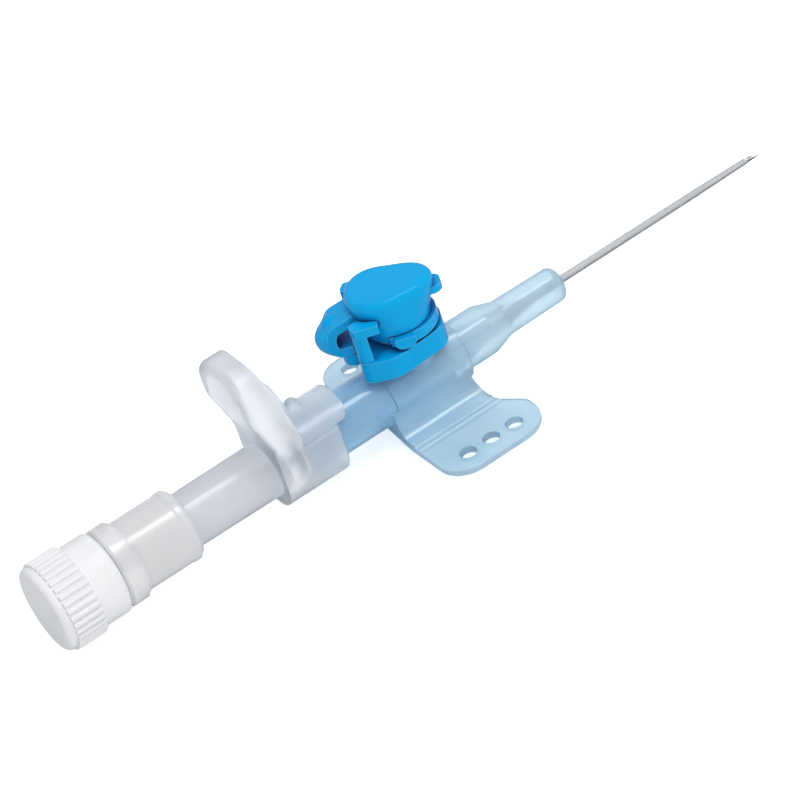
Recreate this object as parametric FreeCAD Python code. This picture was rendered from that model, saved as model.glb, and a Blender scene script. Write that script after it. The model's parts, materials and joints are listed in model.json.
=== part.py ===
import FreeCAD, Part
import math
import os

# Winged 22 G intravenous cannula with an injection port, all sizes in millimetres.
# Origin: centre of the catheter hub's luer mouth. +X runs along the needle to its tip,
# +Z points up out of the injection port and +Y completes the frame.

# Catheter hub, measured forward from the luer mouth
luer_mouth_r = 2.135
luer_taper = 0.03
luer_depth = 10.0
hub_rear_r = 3.2
lug_rise = 0.5
lug_root = 0.5
lug_length = 1.1
lug_half_angle = 38.0
saddle_start = 10.8
saddle_length = 9.4
saddle_r = 3.4
barrel_r = 2.75
barrel_length = 3.8
barrel_round = 0.5
shoulder_length = 2.3
nose_r = 2.02
nose_draft = 0.08
nose_length = 7.6
nose_round = 1.0
lumen_r = 1.6
lumen_length = 10.6
lumen_cone_length = 3.0
ferrule_chamber_r = 1.0
ferrule_chamber_length = 3.3

# Wings, one flat blade under the saddle, with its outline in plan
wing_span = 28.0
wing_top = -3.4
wing_thickness = 0.8
wing_root_fillet = 2.5
wing_rear_root = 10.35
wing_rear_edge = 9.9
wing_rear_knee_y = 5.2
wing_rear_knee_round = 3.0
wing_rear_corner = 3.2
wing_front_edge = 22.2
wing_front_corner = 3.6
wing_lobe_share = 0.65
wing_lobe_round = 1.5
wing_waist_front = 20.3
wing_waist_share = 0.471
wing_waist_round = 1.2
wing_front_root = 19.6
wing_front_root_y = 3.4
wing_front_root_round = 2.0
wing_edge_round = 0.2
suture_holes_each_side = 3
suture_hole_r = 0.93
suture_hole_pitch = 2.9
suture_hole_x = 16.05
suture_hole_edge = 2.65
flex_grooves_each_side = 2
flex_groove_y = 6.3
flex_groove_pitch = 0.8
flex_groove_r = 0.5
flex_groove_depth = 0.1

# Injection port boss on the saddle
port_x = 15.4
boss_base_r = 2.8
boss_base_top = 6.3
boss_r = 2.6
boss_top = 9.4
port_well_r = 2.1
port_well_floor = 2.4
port_hole_r = 1.3

# Silicone valve sleeve inside the hub, under the port
valve_length = 7.0
valve_wall = 0.4
valve_clearance = 0.05

# Catheter tube and the metal ferrule that wedges it
catheter_r = 0.44
catheter_tip_r = 0.34
catheter_bore_r = 0.31
catheter_reach = 24.8
catheter_tip_taper = 7.5
catheter_flare_r = 0.8
catheter_flare_length = 3.0
catheter_fit = 0.03
ferrule_wall = 0.1
ferrule_bore_r = 0.34
ferrule_lip_r = 0.92
ferrule_lip = 0.3
ferrule_fit = 0.02

# Coloured port cap in its own frame: +X to the finger tab, turned on the boss as photographed
cap_turn = -26.0
ring_bottom = 3.6
ring_height = 2.35
ring_front = 4.3
ring_front_half_width = 1.9
ring_front_round = 1.9
ring_side = 4.6
ring_belly = 5.15
ring_belly_back = 1.2
ring_belly_round = 3.5
ring_rear = 4.9
ring_corner = 1.3
ring_running_fit = 0.06
heel_reach = 6.5
heel_half_width = 2.0
heel_corner = 1.5
heel_bottom = 4.4
post_thickness = 0.85
post_length = 1.6
post_root = 1.2
post_top = 10.1
hook_height = 1.0
hook_round = 0.2
hook_rear = 0.45
hook_inner = 2.75
hook_inner_back = 0.95
hook_heel_half_width = 3.2
hook_heel = 1.6
hook_front = 1.85
strap_half_width = 1.9
strap_thickness = 1.0
strap_upper = 10.35
strap_lower = 5.75
strap_back = 8.7
strap_bulge = 1.2
strap_levels = 5
strap_start = 3.7
strap_foot = 5.0
strap_shoulder = 6.6
strap_shoulder_drop = 0.9
strap_shoulder_round = 1.2
strap_waist = 7.8
strap_bend = 1.0
strap_gap = 0.02
pad_x = 6.3
pad_sink = 1.15
pad_r = 1.5

# Lid of the port cap
lid_bottom = 6.3
lid_wall_bottom = 7.55
lid_top = 11.8
lid_skirt_r = 3.62
lid_skirt_step = 0.25
lid_skirt_overlap = 0.2
lid_plan_r = 4.1
lid_plan_oval = 0.5
lid_plan_corner = 0.27
lid_plan_shift = -0.15
lid_plan_points = 24
lid_knee_rise = 0.35
lid_knee_blend = 0.45
lid_shoulder_rise = 0.7
lid_crown_inset = 0.1
lid_edge_round = 0.75
lid_roof = 1.35
lid_bore_r = 3.05
lid_lip_r = 3.85
lid_lip_shift = 0.3
lid_lip_height = 1.15
lid_lip_rear = 1.2
tongue_x = 0.3
tongue_width = 2.3
tongue_reach = 4.4
tongue_drop = 0.1
tongue_low_round = 0.92
tongue_high_round = 0.2
tab_root = 2.5
tab_reach = 5.4
tab_half_width = 1.25
tab_corner = 1.0
tab_top = 10.25
tab_thickness = 0.8
stopper_r = 1.8
stopper_tip_r = 1.5
stopper_bottom = 6.6

# Needle assembly: steel needle and its hub with luer nose, flange and guard sleeve
needle_fit = 0.05
needle_r = 0.27
needle_bore_r = 0.16
needle_glue_gap = 0.02
needle_tip = 60.4
needle_rear = -4.2
bevel_length = 1.5
bevel_lip = 0.02
needle_nose_length = 8.0
nose_root_wall = 1.4
flange_front = -0.4
flange_thickness = 3.2
flange_rise = 0.6
flange_corner = 0.5
sleeve_r = 4.4
sleeve_bore_r = 3.8
sleeve_end = 3.9
visor_length = 1.8
visor_half_angle = 53.0
visor_corner = 1.4
skirt_side = 4.1
skirt_top = 2.6
skirt_top_corner = 0.25
skirt_bottom = -4.1
skirt_corner = 3.5
skirt_front_round = 0.3
bump_r = 0.8
bump_foot_r = 1.15
bump_x = 1.35
bump_top = 5.9

# Thumb grip on the flange, measured back from the flange
grip_half_width = 4.7
grip_root = 2.0
grip_root_half_width = 3.9
grip_waist = 5.2
grip_foot = 4.4
grip_foot_depth = 0.1
grip_top = 13.8
grip_corner = 3.3
grip_lean = 2.2
grip_belly_low = 8.8
grip_belly_high = 11.8
grip_belly_depth = 1.5
grip_belly_round = 3.0
grip_top_depth = 0.9
grip_edge_round = 0.45
dish_half_width = 3.0
dish_depth = 0.9
dish_low = 6.8
dish_high = 10.2
rib_thickness = 1.2
rib_top = 8.9
rib_top_reach = 0.05
rib_foot = 5.6
rib_foot_reach = 1.0

# Flash chamber behind the flange
flash_tube_r = 3.1
flash_tube_rear_r = 3.0
flash_bore_r = 2.25
flash_tube_length = 15.3

# Vent plug over the flash chamber, with its filter disc
filter_room = 1.1
filter_clearance = 0.05
plug_overlap = 5.0
plug_clearance = 0.05
plug_skirt_r = 3.92
plug_bead_r = 4.02
plug_bead_length = 1.0
plug_bead_slope = 0.3
plug_front_edge = 0.4
plug_wall = 0.7
plug_flange_r = 4.4
plug_flange_thickness = 2.3
plug_flange_edge = 0.3
plug_luer_r = 3.15
plug_luer_length = 6.3
plug_luer_floor = 0.2
vent_r = 0.8

# White luer cap over the plug's luer end
cap_front_gap = 0.1
cap_collar_r = 4.55
cap_collar_edge = 0.3
cap_collar_length = 3.4
cap_knurl_length = 3.4
cap_knurl_r = 5.0
cap_knurl_root_r = 4.72
cap_ridges = 36
cap_ridge_r = 0.3
cap_heel = 0.9
cap_heel_round = 0.6
cap_floor = 0.8
cap_bore_r = 4.0
cap_nose_length = 6.0
cap_nose_fit = 0.05

# Worked-out places
lug_tip_r = hub_rear_r + lug_rise
saddle_end = saddle_start + saddle_length
barrel_end = saddle_end + barrel_length
shoulder_end = barrel_end + shoulder_length
nose_end = shoulder_end + nose_length
lumen_end = luer_depth + lumen_length
lumen_cone_end = lumen_end + lumen_cone_length
ferrule_seat = lumen_cone_end + ferrule_chamber_length
flare_end = ferrule_seat + catheter_flare_length
catheter_end = nose_end + catheter_reach
catheter_wall = catheter_r - catheter_bore_r
wing_bottom = wing_top - wing_thickness
valve_r = lumen_r - valve_clearance
ring_top = ring_bottom + ring_height
flange_rear = flange_front - flange_thickness
visor_end = sleeve_end + visor_length
flash_tube_end = flange_rear - flash_tube_length
plug_skirt_front = flash_tube_end + plug_overlap
plug_wall_front = flash_tube_end - filter_room
plug_flange_front = plug_wall_front - plug_wall
plug_flange_rear = plug_flange_front - plug_flange_thickness
plug_luer_end = plug_flange_rear - plug_luer_length
cap_front = plug_flange_rear - cap_front_gap
cap_knurl_front = cap_front - cap_collar_length
cap_knurl_rear = cap_knurl_front - cap_knurl_length
cap_end = cap_knurl_rear - cap_heel

# Working values: a reach past a cut, an overlap of joined pieces and a match of places
PAST = 1.0
OVERLAP = 0.1
SAME = 1e-3

V = FreeCAD.Vector
ORIGIN = V(0, 0, 0)
ALONG = V(1, 0, 0)
UP = V(0, 0, 1)


def turned(profile):
    """Solid of revolution about X from (x, radius) corners."""
    points = [V(x, 0, r) for x, r in profile]
    face = Part.Face(Part.makePolygon(points + points[:1]))
    return face.revolve(ORIGIN, ALONG, 360)


def rod(start, end, r_start, r_end=None):
    """Cylinder or cone along X."""
    r_end = r_start if r_end is None else r_end
    low, high, r_low, r_high = (start, end, r_start, r_end) if start < end else (end, start, r_end, r_start)
    if r_low == r_high:
        return Part.makeCylinder(r_low, high - low, V(low, 0, 0), ALONG)
    return Part.makeCone(r_low, r_high, high - low, V(low, 0, 0), ALONG)


def post(bottom, top, r_bottom, r_top=None, x=0.0, y=0.0):
    """Cylinder or cone along Z."""
    r_top = r_bottom if r_top is None else r_top
    if r_bottom == r_top:
        return Part.makeCylinder(r_bottom, top - bottom, V(x, y, bottom), UP)
    return Part.makeCone(r_bottom, r_top, top - bottom, V(x, y, bottom), UP)


def block(low, high):
    """Box between two corners."""
    size = [b - a for a, b in zip(low, high)]
    return Part.makeBox(*size, V(*low))


def corner_arc(before, corner, after, radius):
    """Start, middle and end of the arc that rounds a corner."""
    to_before = before.sub(corner).normalize()
    to_after = after.sub(corner).normalize()
    half = to_before.getAngle(to_after) / 2
    setback = radius / math.tan(half)
    inward = V(to_before).add(to_after).normalize()
    start = corner.add(V(to_before).multiply(setback))
    bulge = corner.add(V(inward).multiply(radius / math.sin(half) - radius))
    end = corner.add(V(to_after).multiply(setback))
    return start, bulge, end


def rounded_wire(corners, place, closed=True):
    """Wire through (u, v, radius) corners; place turns (u, v, 0) into a 3-D point."""
    points = [V(u, v, 0) for u, v, radius in corners]
    count = len(points)
    stops = []
    for i, point in enumerate(points):
        radius = corners[i][2]
        if radius == 0:
            stops.append((point, None, point))
        else:
            stops.append(corner_arc(points[i - 1], point, points[(i + 1) % count], radius))
    edges = []
    for i, (start, bulge, end) in enumerate(stops):
        if bulge is not None:
            edges.append(Part.Arc(place(start), place(bulge), place(end)).toShape())
        following = stops[(i + 1) % count][0]
        more = closed or i + 1 < count
        if more and end.distanceToPoint(following) > SAME:
            edges.append(Part.LineSegment(place(end), place(following)).toShape())
    return Part.Wire(edges)


def plate(corners, bottom, top):
    """Flat piece with rounded corners in plan, between two heights."""
    wire = rounded_wire(corners, lambda p: V(p.x, p.y, bottom))
    return Part.Face(wire).extrude(V(0, 0, top - bottom))


def crosswise(corners, start, end):
    """Prism along X from (y, z, radius) corners."""
    wire = rounded_wire(corners, lambda p: V(start, p.x, p.y))
    return Part.Face(wire).extrude(V(end - start, 0, 0))


def sideways(corners, half_width):
    """Prism along Y from (x, z, radius) corners, as far to one side as to the other."""
    wire = rounded_wire(corners, lambda p: V(p.x, -half_width, p.y))
    return Part.Face(wire).extrude(V(0, 2 * half_width, 0))


def sector(x_start, x_end, reach, centre_deg, half_deg):
    """Wedge along X that keeps the stretch of a ring near one direction."""
    corners = [V(x_start, 0, 0)]
    for part in (-2, -1, 0, 1, 2):
        angle = math.radians(centre_deg + part * half_deg / 2)
        corners.append(V(x_start, reach * math.cos(angle), reach * math.sin(angle)))
    face = Part.Face(Part.makePolygon(corners + corners[:1]))
    return face.extrude(V(x_end - x_start, 0, 0))


def edges_where(shape, test):
    """Edges whose middle point passes a test."""
    chosen = []
    for edge in shape.Edges:
        middle = edge.valueAt((edge.FirstParameter + edge.LastParameter) / 2)
        if test(middle, edge):
            chosen.append(edge)
    return chosen


def rim(shape, x):
    """Whole circles of a turned piece at one place along X."""
    return edges_where(shape, lambda p, edge: abs(p.x - x) < SAME and edge.Closed)


def luer_radius(depth):
    """Radius of the 6 % luer taper at a depth from its mouth."""
    return luer_mouth_r - luer_taper * depth


def wing_outline():
    """Rear root to front root of one wing in plan, as (x, y, radius) corners."""
    half = wing_span / 2
    return [
        (wing_rear_root, 0, 0),
        (wing_rear_edge, -wing_rear_knee_y, wing_rear_knee_round),
        (wing_rear_edge, -half, wing_rear_corner),
        (wing_front_edge, -half, wing_front_corner),
        (wing_front_edge, -half * wing_lobe_share, wing_lobe_round),
        (wing_waist_front, -half * wing_waist_share, wing_waist_round),
        (wing_front_root, -wing_front_root_y, wing_front_root_round),
        (wing_front_root, 0, 0),
    ]


def wing_root():
    """Prism along X that sweeps the top of the wings up into the saddle with a fillet."""
    fillet = wing_root_fillet
    centre_z = wing_top + fillet
    centre_y = math.sqrt((saddle_r + fillet) ** 2 - centre_z ** 2)
    turn = math.atan2(-centre_z, -centre_y)
    halfway = (turn + 1.5 * math.pi) / 2
    touch = V(0, centre_y + fillet * math.cos(turn), centre_z + fillet * math.sin(turn))
    bulge = V(0, centre_y + fillet * math.cos(halfway), centre_z + fillet * math.sin(halfway))
    foot = V(0, centre_y, wing_top)
    far_touch, far_bulge, far_foot = [V(0, -p.y, p.z) for p in (touch, bulge, foot)]
    edges = [
        Part.LineSegment(far_foot, foot), Part.Arc(foot, bulge, touch),
        Part.LineSegment(touch, far_touch), Part.Arc(far_touch, far_bulge, far_foot),
    ]
    section = Part.Face(Part.Wire([edge.toShape() for edge in edges]))
    return section.extrude(V(wing_front_edge, 0, 0))


def wings():
    """Flared blade with suture holes, flex grooves and a fillet into the saddle."""
    near = plate(wing_outline(), wing_bottom, wing_top)
    blade = near.fuse(near.mirror(ORIGIN, V(0, 1, 0))).removeSplitter()
    blade = blade.makeFillet(wing_edge_round, edges_where(
        blade, lambda p, edge: min(abs(p.z - z) for z in (wing_bottom, wing_top)) < SAME))
    middle = (suture_holes_each_side - 1) / 2
    suture_hole_y = wing_span / 2 - suture_hole_edge
    for side in (-1, 1):
        for i in range(suture_holes_each_side):
            x = suture_hole_x + (i - middle) * suture_hole_pitch
            blade = blade.cut(post(wing_bottom - PAST, wing_top + PAST, suture_hole_r,
                                   x=x, y=side * suture_hole_y))
        for i in range(flex_grooves_each_side):
            groove = rod(wing_rear_edge - PAST, wing_front_edge + PAST, flex_groove_r)
            groove_y = flex_groove_y + i * flex_groove_pitch
            groove.translate(V(0, side * groove_y, wing_top - flex_groove_depth + flex_groove_r))
            blade = blade.cut(groove)
    near_plan = plate(wing_outline(), wing_top - wing_edge_round, saddle_r)
    plan = near_plan.fuse(near_plan.mirror(ORIGIN, V(0, 1, 0)))
    return blade.fuse(wing_root().common(plan))


def luer_lugs(x_start, x_end, neck_r):
    """Two screw lugs on a luer end whose outside has a neck radius."""
    ears = rod(x_start, x_end, lug_tip_r).cut(rod(x_start, x_end, neck_r - lug_root))
    reach = 2 * lug_tip_r
    first = ears.common(sector(x_start, x_end, reach, 0, lug_half_angle))
    second = ears.common(sector(x_start, x_end, reach, 180, lug_half_angle))
    return first.fuse(second)


def hub_body():
    """Outside of the catheter hub from luer mouth to nose."""
    body = turned([
        (0, 0), (0, hub_rear_r), (saddle_start, hub_rear_r), (saddle_start, saddle_r),
        (saddle_end, saddle_r), (saddle_end, barrel_r), (barrel_end, barrel_r), (shoulder_end, nose_r),
        (nose_end, nose_r - nose_draft), (nose_end, 0),
    ])
    body = body.makeFillet(nose_round, rim(body, nose_end))
    body = body.makeFillet(barrel_round, rim(body, barrel_end))
    return body.fuse(luer_lugs(0, lug_length, hub_rear_r))


def hub_passages():
    """Everything that is open inside the hub."""
    pieces = [
        rod(0, luer_depth, luer_radius(0), luer_radius(luer_depth)),
        rod(luer_depth, lumen_end, lumen_r),
        rod(lumen_end, lumen_cone_end, lumen_r, ferrule_chamber_r),
        rod(lumen_cone_end, ferrule_seat, ferrule_chamber_r),
        rod(ferrule_seat, flare_end, catheter_flare_r + catheter_fit, catheter_r + catheter_fit),
        rod(flare_end, nose_end, catheter_r + catheter_fit),
        post(port_well_floor, boss_top, port_well_r - luer_taper * (boss_top - port_well_floor), port_well_r,
             x=port_x),
        post(0, port_well_floor, port_hole_r, x=port_x),
    ]
    return pieces[0].fuse(pieces[1:])


def catheter_hub():
    """Hub, wings and port boss: one moulding."""
    boss = post(0, boss_base_top, boss_base_r, x=port_x).fuse(post(0, boss_top, boss_r, x=port_x))
    solid = hub_body().fuse(wings()).fuse(boss)
    return solid.cut(hub_passages()).removeSplitter()


def port_valve():
    """Silicone sleeve that closes the port from inside."""
    start = port_x - valve_length / 2
    end = port_x + valve_length / 2
    return rod(start, end, valve_r).cut(rod(start, end, valve_r - valve_wall))


def catheter_tube():
    """Flexible tube with a flared rear end and a tapered tip."""
    return turned([
        (ferrule_seat, catheter_flare_r - catheter_wall), (ferrule_seat, catheter_flare_r),
        (flare_end, catheter_r), (catheter_end - catheter_tip_taper, catheter_r),
        (catheter_end, catheter_tip_r), (catheter_end, catheter_bore_r), (flare_end, catheter_bore_r),
    ])


def catheter_ferrule():
    """Funnel that wedges the flared tube into the hub."""
    outer = catheter_flare_r - catheter_wall - catheter_fit
    slope = (catheter_flare_r - catheter_r) / catheter_flare_length
    funnel_end = ferrule_seat + (outer - ferrule_bore_r - ferrule_wall) / slope
    lip_end = ferrule_seat - ferrule_fit
    return turned([
        (ferrule_seat - ferrule_lip, outer - ferrule_wall), (ferrule_seat - ferrule_lip, ferrule_lip_r),
        (lip_end, ferrule_lip_r), (lip_end, outer), (ferrule_seat, outer),
        (funnel_end, ferrule_bore_r + ferrule_wall), (funnel_end, ferrule_bore_r),
    ])


def steel_needle():
    """Hollow needle ground to a bevel that faces up."""
    tube = rod(needle_rear, needle_tip, needle_r).cut(rod(needle_rear, needle_tip, needle_bore_r))
    start = needle_tip - bevel_length
    lip = bevel_lip - needle_r
    ground = sideways([
        (start, needle_r, 0), (needle_tip, lip, 0), (needle_tip + PAST, lip, 0),
        (needle_tip + PAST, 2 * needle_r, 0), (start, 2 * needle_r, 0),
    ], 2 * needle_r)
    return tube.cut(ground)


def sleeve():
    """Guard around the hub's luer end, with a visor and a bump on top."""
    skirt = crosswise([
        (-skirt_side, skirt_top, skirt_top_corner), (-skirt_side, skirt_bottom, skirt_corner),
        (skirt_side, skirt_bottom, skirt_corner), (skirt_side, skirt_top, skirt_top_corner),
    ], flange_rear, sleeve_end)
    below = skirt_top - 2 * skirt_top_corner
    skirt = skirt.makeFillet(skirt_front_round, edges_where(
        skirt, lambda p, edge: abs(p.x - sleeve_end) < SAME and p.z < below))
    above = block((flange_rear, -sleeve_r, skirt_top - PAST), (visor_end, sleeve_r, sleeve_r))
    crown = rod(flange_rear, sleeve_end, sleeve_r).common(above)
    visor_angle = math.radians(visor_half_angle)
    half_width = sleeve_r * math.sin(visor_angle)
    window = plate([
        (sleeve_end - PAST, -half_width, 0), (sleeve_end - PAST, half_width, 0),
        (visor_end, half_width, visor_corner), (visor_end, -half_width, visor_corner),
    ], sleeve_r * math.cos(visor_angle), sleeve_r)
    visor = rod(sleeve_end - PAST, visor_end, sleeve_r).common(window)
    dome_z = bump_top - bump_r
    bump = post(sleeve_bore_r, dome_z, bump_foot_r, bump_r, x=bump_x)
    dome = Part.makeSphere(bump_r, V(bump_x, 0, dome_z))
    return skirt.fuse([crown, visor, bump, dome])


def grip_dish():
    """Long rounded hollow for the thumb, to be cut from the back of the grip."""
    radius = (dish_half_width ** 2 + dish_depth ** 2) / (2 * dish_depth)
    slope = (grip_belly_depth - grip_foot_depth) / (grip_belly_low - grip_foot)
    low_x = flange_rear - grip_foot_depth - slope * (dish_low - grip_foot) - radius + dish_depth
    high_x = flange_rear - grip_belly_depth - radius + dish_depth
    low = V(low_x, 0, dish_low)
    high = V(high_x, 0, dish_high)
    run = high.sub(low)
    return Part.makeCylinder(radius, run.Length, low, run).fuse([
        Part.makeSphere(radius, low), Part.makeSphere(radius, high)])


def grip():
    """Thumb tongue that rises from the flange and leans back, with a rib in front."""
    rearmost = flange_rear - grip_belly_depth - PAST
    arch = crosswise([
        (-grip_root_half_width, grip_root, 0), (grip_root_half_width, grip_root, 0),
        (grip_half_width, grip_waist, 0), (grip_half_width, grip_top, grip_corner),
        (-grip_half_width, grip_top, grip_corner), (-grip_half_width, grip_waist, 0),
    ], rearmost, flange_front + PAST)
    top = grip_top + PAST
    side = sideways([
        (flange_front, grip_root, 0), (flange_front, grip_foot, 0), (flange_front - grip_lean, top, 0),
        (flange_rear - grip_top_depth, top, 0),
        (flange_rear - grip_belly_depth, grip_belly_high, grip_belly_round),
        (flange_rear - grip_belly_depth, grip_belly_low, grip_belly_round),
        (flange_rear - grip_foot_depth, grip_foot, 0), (flange_rear, grip_root, 0),
    ], grip_half_width + PAST)
    tongue = arch.common(side)
    tongue = tongue.makeFillet(grip_edge_round, edges_where(
        tongue, lambda p, edge: p.z > grip_top - SAME or p.z > grip_root and abs(p.y) > grip_root_half_width
        and abs(edge.tangentAt(edge.FirstParameter).y) < 1 - SAME))
    rib = sideways([
        (flange_front - grip_lean, rib_top, 0), (flange_front + rib_top_reach, rib_top, 0),
        (flange_front + rib_foot_reach, rib_foot, 0), (flange_front + rib_foot_reach, sleeve_bore_r, 0),
        (flange_front - grip_lean, sleeve_bore_r, 0),
    ], rib_thickness / 2)
    return tongue.cut(grip_dish()).fuse(rib)


def needle_hub():
    """Flange, thumb grip, guard sleeve, luer nose and flash tube: one moulding."""
    flange_top = sleeve_r + flange_rise
    flange = crosswise([
        (-skirt_side, skirt_bottom, skirt_corner), (skirt_side, skirt_bottom, skirt_corner),
        (skirt_side, flange_top, flange_corner), (-skirt_side, flange_top, flange_corner),
    ], flange_rear, flange_front)
    tube = rod(flash_tube_end, flange_rear, flash_tube_rear_r, flash_tube_r)
    solid = sleeve().fuse([flange, grip(), tube])
    solid = solid.cut(rod(flange_front, visor_end, sleeve_bore_r))
    nose = rod(flange_front, needle_nose_length, luer_radius(0) - needle_fit,
               luer_radius(needle_nose_length) - needle_fit)
    chamber_front = flange_rear + nose_root_wall
    solid = solid.fuse(nose).cut(rod(flash_tube_end, chamber_front, flash_bore_r))
    needle_hole = rod(chamber_front, needle_nose_length, needle_r + needle_glue_gap)
    return solid.cut(needle_hole).removeSplitter()


def flash_plug():
    """Vent plug over the end of the flash tube, with a luer end for the cap."""
    bead_rear = plug_skirt_front - plug_bead_length
    outside = turned([
        (plug_skirt_front, 0), (plug_skirt_front, plug_bead_r - plug_front_edge),
        (plug_skirt_front - plug_front_edge, plug_bead_r), (bead_rear, plug_bead_r),
        (bead_rear - plug_bead_slope, plug_skirt_r), (plug_flange_front, plug_skirt_r),
        (plug_flange_front, plug_flange_r - plug_flange_edge),
        (plug_flange_front - plug_flange_edge, plug_flange_r),
        (plug_flange_rear + plug_flange_edge, plug_flange_r),
        (plug_flange_rear, plug_flange_r - plug_flange_edge),
        (plug_flange_rear, plug_luer_r), (plug_luer_end, plug_luer_r), (plug_luer_end, 0),
    ])
    outside = outside.fuse(luer_lugs(plug_luer_end, plug_luer_end + lug_length, plug_luer_r))
    luer_floor = plug_flange_rear - plug_luer_floor
    inside = rod(plug_wall_front, plug_skirt_front, flash_tube_r + plug_clearance).fuse([
        rod(plug_luer_end, luer_floor, luer_mouth_r, luer_radius(luer_floor - plug_luer_end)),
        rod(luer_floor, plug_wall_front, vent_r)])
    return outside.cut(inside)


def flash_filter():
    """Breathing filter disc between the flash tube and the plug."""
    return rod(plug_wall_front + filter_clearance, flash_tube_end - filter_clearance, flash_tube_rear_r)


def luer_cap():
    """White cap with a ridged rim, screwed on the plug's luer end."""
    shell = turned([
        (cap_front, 0), (cap_front, cap_collar_r - cap_collar_edge),
        (cap_front - cap_collar_edge, cap_collar_r),
        (cap_knurl_front, cap_collar_r), (cap_knurl_front, cap_knurl_root_r), (cap_end, cap_knurl_root_r),
        (cap_end, 0),
    ])
    shell = shell.makeFillet(cap_heel_round, rim(shell, cap_end))
    ridges = []
    for i in range(cap_ridges):
        angle = 2 * math.pi * i / cap_ridges
        ridge = rod(cap_knurl_rear, cap_knurl_front, cap_ridge_r)
        out = cap_knurl_r - cap_ridge_r
        ridge.translate(V(0, out * math.cos(angle), out * math.sin(angle)))
        ridges.append(ridge)
    floor = cap_end + cap_floor
    shell = shell.fuse(ridges).cut(rod(floor, cap_front, cap_bore_r))
    nose_r_root = luer_mouth_r - cap_nose_fit
    nose_front = floor + cap_nose_length
    nose = turned([
        (floor, 0), (floor, nose_r_root), (plug_luer_end, nose_r_root),
        (nose_front, nose_r_root - luer_taper * (nose_front - plug_luer_end)), (nose_front, 0),
    ])
    return shell.fuse(nose).removeSplitter()


def on_port(shape):
    """Moves a piece from the cap's own frame to the port, turned as photographed."""
    shape.rotate(ORIGIN, UP, cap_turn)
    shape.translate(V(port_x, 0, 0))
    return shape


def ring_post(side):
    """One hooked post at the rear of the ring; side is -1 or 1."""
    rear = -ring_rear
    outer = side * ring_side
    inner = side * (ring_side - post_thickness)
    stem = block((rear, min(outer, inner), ring_top - post_root),
                 (rear + post_length, max(outer, inner), post_top))
    corner = plate([
        (rear, -ring_side, ring_corner), (0, -ring_side, 0),
        (0, ring_side, 0), (rear, ring_side, ring_corner),
    ], ring_bottom, post_top)
    hook = plate([
        (rear + hook_rear, outer, hook_round), (rear, side * hook_heel_half_width, hook_round),
        (rear + hook_inner_back, side * hook_inner, hook_round),
        (rear + hook_heel, side * hook_heel_half_width, hook_round), (-hook_front, inner, hook_round),
        (-hook_front, outer, hook_round),
    ], post_top - hook_height, post_top)
    return stem.common(corner).fuse(hook)


def port_ring():
    """Collar round the boss with two hooked posts at its rear."""
    body = plate([
        (-ring_rear, -ring_side, ring_corner), (-ring_belly_back, -ring_belly, ring_belly_round),
        (ring_front, -ring_front_half_width, ring_front_round),
        (ring_front, ring_front_half_width, ring_front_round),
        (-ring_belly_back, ring_belly, ring_belly_round), (-ring_rear, ring_side, ring_corner),
    ], ring_bottom, ring_top)
    heel = plate([
        (-heel_reach, -heel_half_width, heel_corner), (PAST - ring_rear, -heel_half_width, 0),
        (PAST - ring_rear, heel_half_width, 0), (-heel_reach, heel_half_width, heel_corner),
    ], heel_bottom, strap_lower - strap_gap)
    body = body.fuse([heel, ring_post(-1), ring_post(1)])
    return on_port(body.cut(post(ring_bottom, ring_top, boss_base_r + ring_running_fit)).removeSplitter())


def lid_level(height, blend, inset=0.0):
    """Plan outline of the lid at a height; blend 0 is the round skirt, 1 the rounded triangle."""
    points = []
    for i in range(lid_plan_points):
        angle = 2 * math.pi * i / lid_plan_points
        triangle = lid_plan_r + lid_plan_oval * math.cos(2 * angle) + lid_plan_corner * math.cos(3 * angle)
        radius = lid_skirt_r + (triangle - lid_skirt_r) * blend - inset
        points.append(V(radius * math.cos(angle) + lid_plan_shift * blend, radius * math.sin(angle), height))
    curve = Part.BSplineCurve()
    curve.interpolate(points, PeriodicFlag=True)
    return Part.Wire([curve.toShape()])


def lid_wall(inset=0.0):
    """Flaring body of the lid, drawn in all round by an inset."""
    rise = lid_top - lid_wall_bottom
    return Part.makeLoft([
        lid_level(lid_wall_bottom, 0.0, inset),
        lid_level(lid_wall_bottom + lid_knee_rise * rise, lid_knee_blend, inset),
        lid_level(lid_wall_bottom + lid_shoulder_rise * rise, 1.0, inset),
        lid_level(lid_top, 1.0, lid_crown_inset + inset),
    ], True)


def lid_crown():
    """Lid body with its top edge rounded."""
    crown = lid_wall()
    return crown.makeFillet(lid_edge_round, edges_where(crown, lambda p, edge: abs(p.z - lid_top) < SAME))


def lid_tongues():
    """Two small rounded tongues on the sides of the lip, as one bar across it."""
    top = lid_bottom + lid_lip_height
    bottom = lid_bottom - tongue_drop
    half = tongue_width / 2
    return sideways([
        (tongue_x - half, bottom, tongue_low_round), (tongue_x + half, bottom, tongue_low_round),
        (tongue_x + half, top, tongue_high_round), (tongue_x - half, top, tongue_high_round),
    ], tongue_reach)


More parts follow.
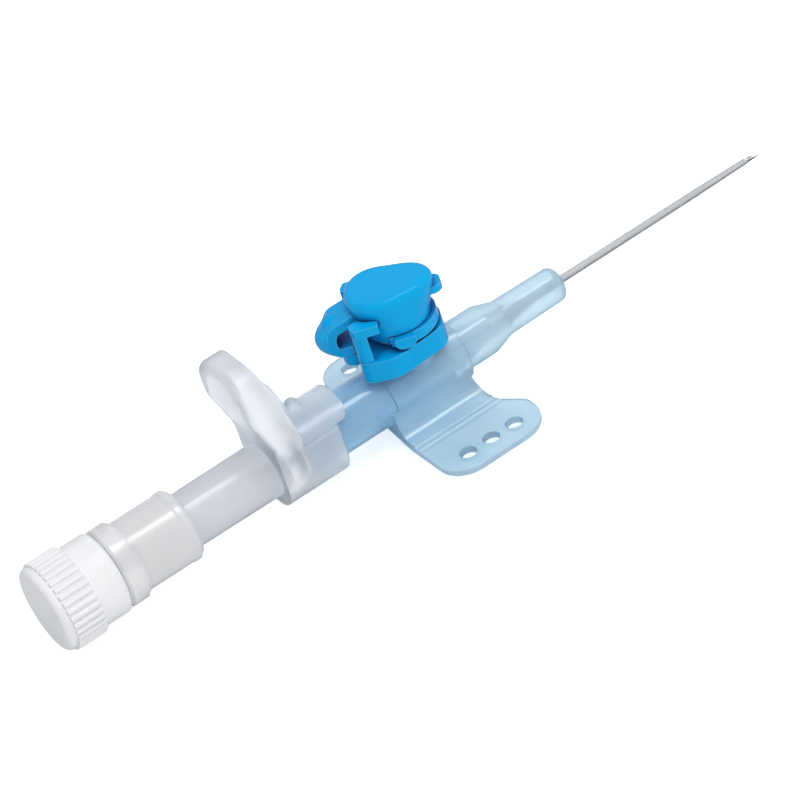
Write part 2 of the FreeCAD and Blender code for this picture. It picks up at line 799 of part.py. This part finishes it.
def port_lid():
    """Snap lid with finger tab, side tongues and a stopper inside."""
    skirt = post(lid_bottom + lid_skirt_step, lid_wall_bottom + lid_skirt_overlap,
                 lid_skirt_r - lid_skirt_step)
    lip = post(lid_bottom, lid_bottom + lid_lip_height, lid_lip_r, x=lid_lip_shift)
    lip = lip.cut(block((-2 * lid_lip_r, -lid_lip_r, lid_bottom), (-lid_lip_rear, lid_lip_r, lid_top)))
    tab = plate([
        (tab_root, -tab_half_width, 0), (tab_reach, -tab_half_width, tab_corner),
        (tab_reach, tab_half_width, tab_corner), (tab_root, tab_half_width, 0),
    ], tab_top - tab_thickness, tab_top)
    solid = lid_crown().fuse([skirt, lip, lid_tongues(), tab])
    ceiling = lid_top - lid_roof
    solid = solid.cut(post(lid_bottom - PAST, ceiling, lid_bore_r))
    stopper = post(stopper_bottom, ceiling + OVERLAP, stopper_tip_r, stopper_r)
    return on_port(solid.fuse(stopper).removeSplitter())


def band(path, thickness):
    """Closed outline of even thickness along a path in the X-Z plane."""
    outer = path.makeOffset2D(-thickness / 2, 0, False, True)
    inner = path.makeOffset2D(thickness / 2, 0, False, True)
    edges = list(outer.Edges) + list(inner.Edges)
    inner_ends = (inner.OrderedVertexes[0], inner.OrderedVertexes[-1])
    for end in (outer.OrderedVertexes[0], outer.OrderedVertexes[-1]):
        other = min(inner_ends, key=lambda vertex: vertex.Point.distanceToPoint(end.Point))
        edges.append(Part.LineSegment(end.Point, other.Point).toShape())
    return Part.Wire(Part.__sortEdges__(edges))


def strap_level(share):
    """Outline of the strap at a share of its half-width; its back is fullest in the middle."""
    upper = strap_upper - strap_thickness / 2
    lower = strap_lower + strap_thickness / 2
    back = strap_thickness / 2 + strap_bulge * share ** 2 - strap_back
    path = rounded_wire([
        (-strap_start, upper, 0), (-strap_shoulder, upper - strap_shoulder_drop, strap_shoulder_round),
        (back, strap_waist, strap_bend), (back, lower, strap_bend), (-strap_foot, lower, 0),
    ], lambda p: V(p.x, 0, p.y), closed=False)
    outline = band(path, strap_thickness)
    outline.translate(V(0, share * strap_half_width, 0))
    return outline


def lid_strap():
    """Springy U-shaped strap from the lid's rear to the ring, with a round pad on its shoulder."""
    levels = [strap_level(2 * i / (strap_levels - 1) - 1) for i in range(strap_levels)]
    strap = Part.makeLoft(levels, True)
    slope = strap_shoulder_drop / (strap_shoulder - strap_start)
    pad_z = strap_upper - slope * (pad_x - strap_start) - pad_sink
    pad = Part.makeSphere(pad_r, V(-pad_x, 0, pad_z))
    pad = pad.common(post(pad_z, strap_upper, pad_r, x=-pad_x))
    return on_port(strap.fuse(pad).cut(lid_wall(-strap_gap)).removeSplitter())


NODES = {
    "catheter_hub": catheter_hub,
    "catheter_tube": catheter_tube,
    "catheter_ferrule": catheter_ferrule,
    "port_valve": port_valve,
    "port_ring": port_ring,
    "lid_strap": lid_strap,
    "port_lid": port_lid,
    "steel_needle": steel_needle,
    "needle_hub": needle_hub,
    "flash_plug": flash_plug,
    "flash_filter": flash_filter,
    "luer_cap": luer_cap,
}

os.makedirs("parts", exist_ok=True)
for name, make in NODES.items():
    shape = make()
    print(name, len(shape.Solids), "solid(s)", round(shape.Volume, 2), "mm3", "valid", shape.isValid())
    shape.exportStep("parts/" + name + ".step")
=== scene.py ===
"""Looks of the winged intravenous cannula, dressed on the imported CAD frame."""
import json
import math
from collections import namedtuple

import bpy
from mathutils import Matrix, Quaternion, Vector

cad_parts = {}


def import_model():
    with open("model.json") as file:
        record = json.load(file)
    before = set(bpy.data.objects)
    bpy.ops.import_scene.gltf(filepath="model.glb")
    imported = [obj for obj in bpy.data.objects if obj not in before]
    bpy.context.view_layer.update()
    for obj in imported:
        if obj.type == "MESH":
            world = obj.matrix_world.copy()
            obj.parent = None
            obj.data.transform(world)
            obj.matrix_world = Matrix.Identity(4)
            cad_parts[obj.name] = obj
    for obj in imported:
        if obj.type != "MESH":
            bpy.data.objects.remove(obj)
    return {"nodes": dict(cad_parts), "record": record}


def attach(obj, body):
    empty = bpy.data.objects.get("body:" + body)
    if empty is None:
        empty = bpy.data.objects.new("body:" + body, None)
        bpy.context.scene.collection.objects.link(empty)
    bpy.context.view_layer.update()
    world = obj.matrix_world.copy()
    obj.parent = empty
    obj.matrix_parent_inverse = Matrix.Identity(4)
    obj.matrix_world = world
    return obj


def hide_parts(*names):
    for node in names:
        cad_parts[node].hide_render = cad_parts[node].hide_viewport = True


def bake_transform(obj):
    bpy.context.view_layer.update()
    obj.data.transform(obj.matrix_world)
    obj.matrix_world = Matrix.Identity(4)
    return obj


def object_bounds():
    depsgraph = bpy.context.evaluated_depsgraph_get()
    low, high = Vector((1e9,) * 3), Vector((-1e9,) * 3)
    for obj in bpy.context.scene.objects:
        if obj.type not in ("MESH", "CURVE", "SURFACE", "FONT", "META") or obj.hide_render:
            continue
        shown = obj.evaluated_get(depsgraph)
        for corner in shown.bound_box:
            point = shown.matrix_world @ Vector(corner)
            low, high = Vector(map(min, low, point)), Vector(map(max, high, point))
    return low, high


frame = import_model()
cad_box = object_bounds()

MM = 0.001
NODES = frame["nodes"]
BEHAVIOUR = frame["record"]["behaviour"]
BODY_OF = {node: body for body, nodes in BEHAVIOUR["bodies"].items() for node in nodes}
SLOT_OF = {part["node"]: part["material_slot"] for part in frame["record"]["subparts"]}

# Strap: its node
STRAP = "lid_strap"

# Camera, solved from the photograph: it looks at a point near the hub from far off
CAMERA_BACK = Vector((-0.309, -0.756, 0.578)).normalized()
CAMERA_ROLL = math.radians(-19.5)
CAMERA_AIM = Vector((12.32, -0.90, -1.16)) * MM
CAMERA_DISTANCE = 450 * MM
CAMERA_LENS = 198.5
CAMERA_NEAR = 10 * MM
SENSOR_WIDTH = 36.0

# Floor a hair under the ridged cap, the lowest thing on the part, and white surroundings
FLOOR_Z = cad_box[0][2] - 0.05 * MM
FLOOR_SIZE = 3.0
FLOOR_ROUGHNESS = 0.9
FLOOR_GLOW = 0.62
WORLD_LIGHT = 0.68

# Radius that the mould leaves on sharp edges, width of the painted highlight line along them, reach of the
# painted shade in gaps
EDGE_ROUND = 0.12 * MM
EDGE_HIGHLIGHT_WIDTH = 0.2 * MM
GAP_SHADE_REACH = 2.2 * MM
EDGE_SAMPLES = 6
GAP_SHADE_SAMPLES = 8

# Each pair below is where an effect starts and where it is full.
# Cosine of the normal's turn at an edge for the painted edge highlight, openness of a gap for the painted
# gap shade, height of a normal that looks down for the painted underside shade
EDGE_HIGHLIGHT_TURN = (0.985, 0.85)
GAP_SHADE_OPEN = (0.75, 0.35)
UNDERSIDE_SHADE_Z = (0.35, -0.05)
# The hub's wall is thick and its blue deep on the rear tube and saddle, not on the barrel and wings
THICK_X = (22 * MM, 14 * MM)
THICK_ASIDE = (6.5 * MM, 3.4 * MM)
# The needle hub's sleeve covers the blue hub, which shows through it
SLEEVE_X = (-0.8 * MM, 0.8 * MM)

# Plastics: how soon the rim colour comes (painted shade on opaque plastic, on clear plastic the tint of the
# longer path with painted shade), the clouds that flow in the mould leaves and the skin that catches the
# light, each with its cells in a metre, and the shares of the clouds and the painted edge highlight
Plastic = namedtuple("Plastic", ("rim_blend", "cloud_cells", "cloud_range", "cloud_share",
                                 "skin_cells", "skin_height", "line_share"))
CLEAR = Plastic(rim_blend=0.5, cloud_cells=260, cloud_range=(0.35, 0.7), cloud_share=0.12,
                skin_cells=1400, skin_height=0.01 * MM, line_share=0.6)
SOLID = Plastic(rim_blend=0.4, cloud_cells=420, cloud_range=(0.4, 0.75), cloud_share=0.1,
                skin_cells=2600, skin_height=0.008 * MM, line_share=0.75)
CLEAR_IOR = 1.3
CLEAR_COAT_ROUGHNESS = 0.12
SOLID_IOR = 1.5
DEEP_SHARE = 0.7
GAP_SHADE_SHARE = 0.8

# Drawn steel: cells in a metre along and across the tube, and what its lines do to tone and roughness
DRAWN_CELLS = (6, 7000, 7000)
DRAWN_SHARE = 0.15
DRAWN_TONE = (0.3, 0.7)
DRAWN_ROUGHNESS = (-0.7, 4.0)

COLOURS = {
    "cap_blue": (0, 173, 236),
    # Painted shade where the cap is seen edge on
    "cap_blue_shade": (0, 112, 196),
    # Painted highlight along the cap's sharp edges
    "cap_blue_edge_highlight": (96, 200, 244),
    # Painted dark shade deep in the cap's gaps
    "cap_blue_gap_shade": (30, 24, 118),
    "hub_blue": (212, 235, 247),
    "hub_blue_edge": (120, 188, 226),
    "hub_blue_deep": (156, 216, 252),
    # Painted highlight along the hub's sharp edges
    "hub_blue_edge_highlight": (150, 208, 236),
    "needle_hub": (240, 242, 246),
    "needle_hub_edge": (190, 198, 212),
    # Painted highlight along sharp edges of the needle hub and the vent plug
    "needle_hub_edge_highlight": (232, 236, 244),
    "needle_hub_over": (237, 247, 254),
    "plug": (251, 251, 252),
    "plug_edge": (230, 234, 241),
    "luer_white": (246, 247, 249),
    # Painted shade where the white luer cap is seen edge on
    "luer_white_rim_shade": (204, 208, 216),
    "steel": (236, 238, 242),
    # Painted shade where the steel faces down, also the colour of its drawing lines
    "steel_underside_shade_and_line": (62, 60, 66),
    "catheter": (246, 249, 252),
    "catheter_edge": (150, 158, 174),
    # Painted shade on the catheter's underside
    "catheter_underside_shade": (88, 86, 94),
    "silicone": (226, 228, 226),
    "filter": (240, 238, 232),
    "floor": (250, 250, 250),
}


def linear(name):
    """Linear RGBA of a named colour, by the standard sRGB curve."""
    channels = []
    for value in COLOURS[name]:
        share = value / 255
        channels.append(share / 12.92 if share <= 0.04045 else ((share + 0.055) / 1.055) ** 2.4)
    return (*channels, 1.0)


def seen_ray(tree):
    """1 for rays from the camera, also through clear plastic, and 0 for rays that only light."""
    path = tree.nodes.new("ShaderNodeLightPath")
    seen = tree.nodes.new("ShaderNodeMath")
    seen.operation = "MAXIMUM"
    tree.links.new(path.outputs["Is Camera Ray"], seen.inputs[0])
    tree.links.new(path.outputs["Is Transmission Ray"], seen.inputs[1])
    return seen.outputs["Value"]


class Shader:
    """Short hand for building a node material around one principled shader."""

    def __init__(self, name):
        self.material = bpy.data.materials.new(name)
        self.material.use_nodes = True
        self.tree = self.material.node_tree
        self.bsdf = self.tree.nodes["Principled BSDF"]
        self.output = self.tree.nodes["Material Output"]

    def add(self, kind, **settings):
        """New node of a kind, with its settings."""
        node = self.tree.nodes.new(kind)
        for key, value in settings.items():
            setattr(node, key, value)
        return node

    def link(self, source, target):
        self.tree.links.new(source, target)

    def feed(self, value, socket):
        """Set a socket to a number or colour, or link it to another node's value."""
        if isinstance(value, (int, float, tuple)):
            socket.default_value = value
        else:
            self.link(value, socket)

    def set(self, **values):
        """Set inputs of the principled shader, with _ for each space in their names."""
        for key, value in values.items():
            self.bsdf.inputs[key.replace("_", " ")].default_value = value

    def place(self):
        """Position on the object, in metres."""
        return self.add("ShaderNodeTexCoord").outputs["Object"]

    def normal(self):
        return self.add("ShaderNodeNewGeometry").outputs["Normal"]

    def split(self, vector):
        """X, Y and Z of a vector."""
        node = self.add("ShaderNodeSeparateXYZ")
        self.link(vector, node.inputs["Vector"])
        return node.outputs

    def noise(self, cells, detail=2.0, place=None):
        """Cloudy noise with so many cells in a metre."""
        node = self.add("ShaderNodeTexNoise")
        node.inputs["Scale"].default_value = cells
        node.inputs["Detail"].default_value = detail
        self.link(place or self.place(), node.inputs["Vector"])
        return node.outputs["Fac"]

    def ramp(self, source, start, full):
        """Source stretched so that start becomes 0 and full becomes 1."""
        node = self.add("ShaderNodeMapRange")
        node.inputs["From Min"].default_value = start
        node.inputs["From Max"].default_value = full
        self.link(source, node.inputs["Value"])
        return node.outputs["Result"]

    def scaled(self, value, factor):
        """Value times a number or another value."""
        node = self.add("ShaderNodeMath", operation="MULTIPLY")
        self.link(value, node.inputs[0])
        self.feed(factor, node.inputs[1])
        return node.outputs["Value"]

    def mix(self, factor, first, second):
        """First colour that turns to the second as the factor grows."""
        node = self.add("ShaderNodeMix", data_type="RGBA")
        for value, socket in ((factor, "Factor"), (first, "A"), (second, "B")):
            self.feed(value, node.inputs[socket])
        return node.outputs["Result"]

    def rounded(self, radius):
        """Normal as it would be with sharp edges rounded to the radius."""
        node = self.add("ShaderNodeBevel", samples=EDGE_SAMPLES)
        node.inputs["Radius"].default_value = radius
        return node.outputs["Normal"]

    def edges(self):
        """1 on sharp edges, 0 on open faces: the mask of the painted edge highlight."""
        turn = self.add("ShaderNodeVectorMath", operation="DOT_PRODUCT")
        self.link(self.rounded(EDGE_HIGHLIGHT_WIDTH), turn.inputs[0])
        self.link(self.normal(), turn.inputs[1])
        return self.ramp(turn.outputs["Value"], *EDGE_HIGHLIGHT_TURN)

    def gaps(self):
        """1 deep in gaps, 0 on open faces: the mask of the painted gap shade, from ambient occlusion."""
        shade = self.add("ShaderNodeAmbientOcclusion", samples=GAP_SHADE_SAMPLES)
        shade.inputs["Distance"].default_value = GAP_SHADE_REACH
        return self.ramp(shade.outputs["AO"], *GAP_SHADE_OPEN)

    def low(self):
        """0 on faces that look up, 1 on faces that look down to the table: the mask of the painted
        underside shade.
        """
        return self.ramp(self.split(self.normal())["Z"], *UNDERSIDE_SHADE_Z)

    def thick(self):
        """1 where the hub's wall is thick, 0 on its barrel and wings."""
        place = self.split(self.place())
        aside = self.add("ShaderNodeMath", operation="ABSOLUTE")
        self.link(place["Y"], aside.inputs[0])
        return self.scaled(self.ramp(place["X"], *THICK_X), self.ramp(aside.outputs["Value"], *THICK_ASIDE))

    def sleeve(self):
        """1 where the needle hub covers the blue hub, 0 behind."""
        return self.ramp(self.split(self.place())["X"], *SLEEVE_X)

    def rimmed(self, face, rim, blend, window):
        """Face colour that turns to the rim colour where it is seen edge on."""
        node = self.add("ShaderNodeLayerWeight")
        node.inputs["Blend"].default_value = blend
        return self.mix(self.ramp(node.outputs["Facing"], *window), face, rim)

    def clouded(self, tone, shade, plastic):
        """Tone with faint clouds of the shade."""
        flow = self.ramp(self.noise(plastic.cloud_cells, detail=3), *plastic.cloud_range)
        return self.mix(plastic.cloud_share, tone, self.mix(flow, tone, shade))

    def with_edge_highlight(self, tone, line, plastic):
        """Tone with a painted highlight line along sharp edges."""
        return self.mix(self.scaled(self.edges(), plastic.line_share), tone, line)

    def skinned(self, plastic, grain):
        """Fine skin over edges that are softened as a mould leaves them."""
        node = self.add("ShaderNodeBump")
        node.inputs["Distance"].default_value = plastic.skin_height
        node.inputs["Strength"].default_value = grain
        self.link(self.rounded(EDGE_ROUND), node.inputs["Normal"])
        self.link(self.noise(plastic.skin_cells), node.inputs["Height"])
        self.link(node.outputs["Normal"], self.bsdf.inputs["Normal"])


def clear_plastic(name, core, edge, clear, rough, rim=(0.35, 1.0), gloss=0.8, grain=0.3, line=None,
                  deep=None, zone=None):
    """Translucent moulded plastic: pale square on, tinted and darker edge on (the tint of the longer path
    with painted shade), with a deeper colour in one zone.
    """
    shader = Shader(name)
    # Seen edge on: the tint of the longer path through the plastic, with painted shade
    tone = shader.rimmed(linear(core), linear(edge), CLEAR.rim_blend, rim)
    # A deeper colour in one zone: the blue hub's thick wall, the blue hub seen through the needle hub's
    # sleeve, and painted shade on the catheter's underside
    if deep:
        tone = shader.mix(shader.scaled(zone(shader), DEEP_SHARE), tone, linear(deep))
    tone = shader.clouded(tone, linear(edge), CLEAR)
    # Painted highlight along sharp edges
    if line:
        tone = shader.with_edge_highlight(tone, linear(line), CLEAR)
    shader.link(tone, shader.bsdf.inputs["Base Color"])
    if grain:
        shader.skinned(CLEAR, grain)
    shader.set(Roughness=rough, IOR=CLEAR_IOR, Transmission_Weight=clear, Coat_Weight=gloss,
               Coat_Roughness=CLEAR_COAT_ROUGHNESS)
    return shader.material


def solid_plastic(name, face, shade, rough, rim=(0.35, 1.0), shine=0.22, grain=0.3, line=None, gap=None):
    """Opaque moulded plastic with a faint orange-peel skin and painted shade where it is seen edge on."""
    shader = Shader(name)
    # Painted shade where the plastic is seen edge on
    tone = shader.rimmed(linear(face), linear(shade), SOLID.rim_blend, rim)
    tone = shader.clouded(tone, linear(shade), SOLID)
    # Painted highlight along sharp edges
    if line:
        tone = shader.with_edge_highlight(tone, linear(line), SOLID)
    # Painted dark shade deep in gaps
    if gap:
        tone = shader.mix(shader.scaled(shader.gaps(), GAP_SHADE_SHARE), tone, linear(gap))
    shader.link(tone, shader.bsdf.inputs["Base Color"])
    shader.skinned(SOLID, grain)
    shader.set(Roughness=rough, IOR=SOLID_IOR, Specular_IOR_Level=shine)
    return shader.material


def ground_steel(name):
    """Stainless tube with fine drawing lines along the needle, and painted shade where it faces down to the
    table.
    """
    shader = Shader(name)
    stretch = shader.add("ShaderNodeMapping")
    stretch.inputs["Scale"].default_value = DRAWN_CELLS
    shader.link(shader.place(), stretch.inputs["Vector"])
    lines = shader.noise(1.0, place=stretch.outputs["Vector"])
    # Painted shade where the steel faces down to the table
    tone = shader.mix(shader.low(), linear("steel"), linear("steel_underside_shade_and_line"))
    drawn = shader.mix(shader.ramp(lines, *DRAWN_TONE), tone, linear("steel_underside_shade_and_line"))
    shader.link(shader.mix(DRAWN_SHARE, tone, drawn), shader.bsdf.inputs["Base Color"])
    shader.link(shader.ramp(lines, *DRAWN_ROUGHNESS), shader.bsdf.inputs["Roughness"])
    shader.set(Metallic=1.0)
    return shader.material


MATERIALS = {
    "hub_blue_translucent": clear_plastic(
        "hub_blue", core="hub_blue", edge="hub_blue_edge", clear=0.55, rough=0.32,
        line="hub_blue_edge_highlight", deep="hub_blue_deep", zone=Shader.thick),
    "needle_hub_translucent": clear_plastic(
        "needle_hub", core="needle_hub", edge="needle_hub_edge", clear=0.68, rough=0.48, rim=(0.4, 1.0),
        gloss=0.45, line="needle_hub_edge_highlight", deep="needle_hub_over", zone=Shader.sleeve),
    # The catheter's deeper zone is painted shade on its underside
    "catheter_polymer": clear_plastic(
        "catheter", core="catheter", edge="catheter_edge", clear=0.5, rough=0.25, rim=(0.35, 0.95),
        grain=None, deep="catheter_underside_shade", zone=Shader.low),
    "valve_silicone": clear_plastic(
        "silicone", core="silicone", edge="silicone", clear=0.2, rough=0.4, rim=(0.3, 1.0)),
    # Blue cap: painted shade edge on, painted highlight along sharp edges and painted dark shade in gaps
    "cap_blue": solid_plastic(
        "cap_blue", face="cap_blue", shade="cap_blue_shade", rough=0.24, shine=0.13,
        line="cap_blue_edge_highlight", gap="cap_blue_gap_shade"),
    "luer_cap_white": solid_plastic("luer_white", face="luer_white", shade="luer_white_rim_shade", rough=0.4),
    "filter_white": solid_plastic("filter", face="filter", shade="filter", rough=0.9),
    "steel": ground_steel("steel"),
}

# The vent plug has the needle hub's slot, but a milkier plastic
MILKY_NODE = "flash_plug"
MILKY_PLUG = clear_plastic(
    "plug", core="plug", edge="plug_edge", clear=0.42, rough=0.42, rim=(0.4, 1.0), gloss=0.7,
    line="needle_hub_edge_highlight")


def skin(node):
    """Copy of a CAD node's mesh, with its material, that stands for the node."""
    mesh = NODES[node].data.copy()
    mesh.name = "skin_" + node
    mesh.materials.clear()
    mesh.materials.append(MILKY_PLUG if node == MILKY_NODE else MATERIALS[SLOT_OF[node]])
    piece = bpy.data.objects.new("skin_" + node, mesh)
    bpy.context.scene.collection.objects.link(piece)
    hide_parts(node)
    return piece


def strap():
    """Springy strap of the port cap, as a skin that stays in place and rides on no body."""
    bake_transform(skin(STRAP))


def floor():
    """Pale floor that reads as white and keeps a soft shadow of the part."""
    mesh = bpy.data.meshes.new("floor")
    half = FLOOR_SIZE / 2
    corners = [(x, y, FLOOR_Z) for x, y in ((-half, -half), (half, -half), (half, half), (-half, half))]
    mesh.from_pydata(corners, [], [(0, 1, 2, 3)])
    plane = bpy.data.objects.new("floor", mesh)
    bpy.context.scene.collection.objects.link(plane)
    shader = Shader("floor")
    shader.set(Base_Color=linear("floor"), Roughness=FLOOR_ROUGHNESS)
    glow = shader.add("ShaderNodeEmission")
    glow.inputs["Strength"].default_value = FLOOR_GLOW
    both = shader.add("ShaderNodeAddShader")
    shader.link(shader.bsdf.outputs["BSDF"], both.inputs[0])
    shader.link(glow.outputs["Emission"], both.inputs[1])
    switch = shader.add("ShaderNodeMixShader")
    shader.link(seen_ray(shader.tree), switch.inputs["Fac"])
    shader.link(shader.bsdf.outputs["BSDF"], switch.inputs[1])
    shader.link(both.outputs["Shader"], switch.inputs[2])
    shader.link(switch.outputs["Shader"], shader.output.inputs["Surface"])
    mesh.materials.append(shader.material)


def world():
    """White surroundings: full white to the camera, softer as a light."""
    studio = bpy.data.worlds.new("studio")
    bpy.context.scene.world = studio
    studio.use_nodes = True
    tree = studio.node_tree
    level = tree.nodes.new("ShaderNodeMapRange")
    level.inputs["To Min"].default_value = WORLD_LIGHT
    level.inputs["To Max"].default_value = 1.0
    tree.links.new(seen_ray(tree), level.inputs["Value"])
    background = tree.nodes["Background"]
    background.inputs["Color"].default_value = (1, 1, 1, 1)
    tree.links.new(level.outputs["Result"], background.inputs["Strength"])


def lamp(name, place, length, width, power):
    """Soft light that points at the hub."""
    light = bpy.data.lights.new(name, "AREA")
    light.shape = "RECTANGLE"
    light.size = length
    light.size_y = width
    light.energy = power
    holder = bpy.data.objects.new(name, light)
    bpy.context.scene.collection.objects.link(holder)
    holder.location = place
    holder.rotation_mode = "QUATERNION"
    holder.rotation_quaternion = (Vector(place) - CAMERA_AIM).to_track_quat("Z", "Y")


def camera():
    """Camera at the photograph's place, with a long lens."""
    data = bpy.data.cameras.new("camera")
    data.lens = CAMERA_LENS
    data.sensor_width = SENSOR_WIDTH
    data.clip_start = CAMERA_NEAR
    holder = bpy.data.objects.new("camera", data)
    bpy.context.scene.collection.objects.link(holder)
    holder.location = CAMERA_AIM + CAMERA_BACK * CAMERA_DISTANCE
    holder.rotation_mode = "QUATERNION"
    holder.rotation_quaternion = CAMERA_BACK.to_track_quat("Z", "Y") @ Quaternion((0, 0, 1), CAMERA_ROLL)
    bpy.context.scene.camera = holder


for node_name in NODES:
    if node_name != STRAP:
        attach(skin(node_name), BODY_OF[node_name])
strap()

floor()
world()
lamp("key", place=(0.03, -0.14, 0.44), length=0.2, width=0.2, power=0.25)
lamp("fill", place=(0.35, -0.25, 0.25), length=0.3, width=0.3, power=0.2)
lamp("strip", place=(0.14, -0.114, 0.47), length=0.1, width=0.16, power=0.4)
camera()
bpy.context.scene.view_settings.view_transform = "Standard"
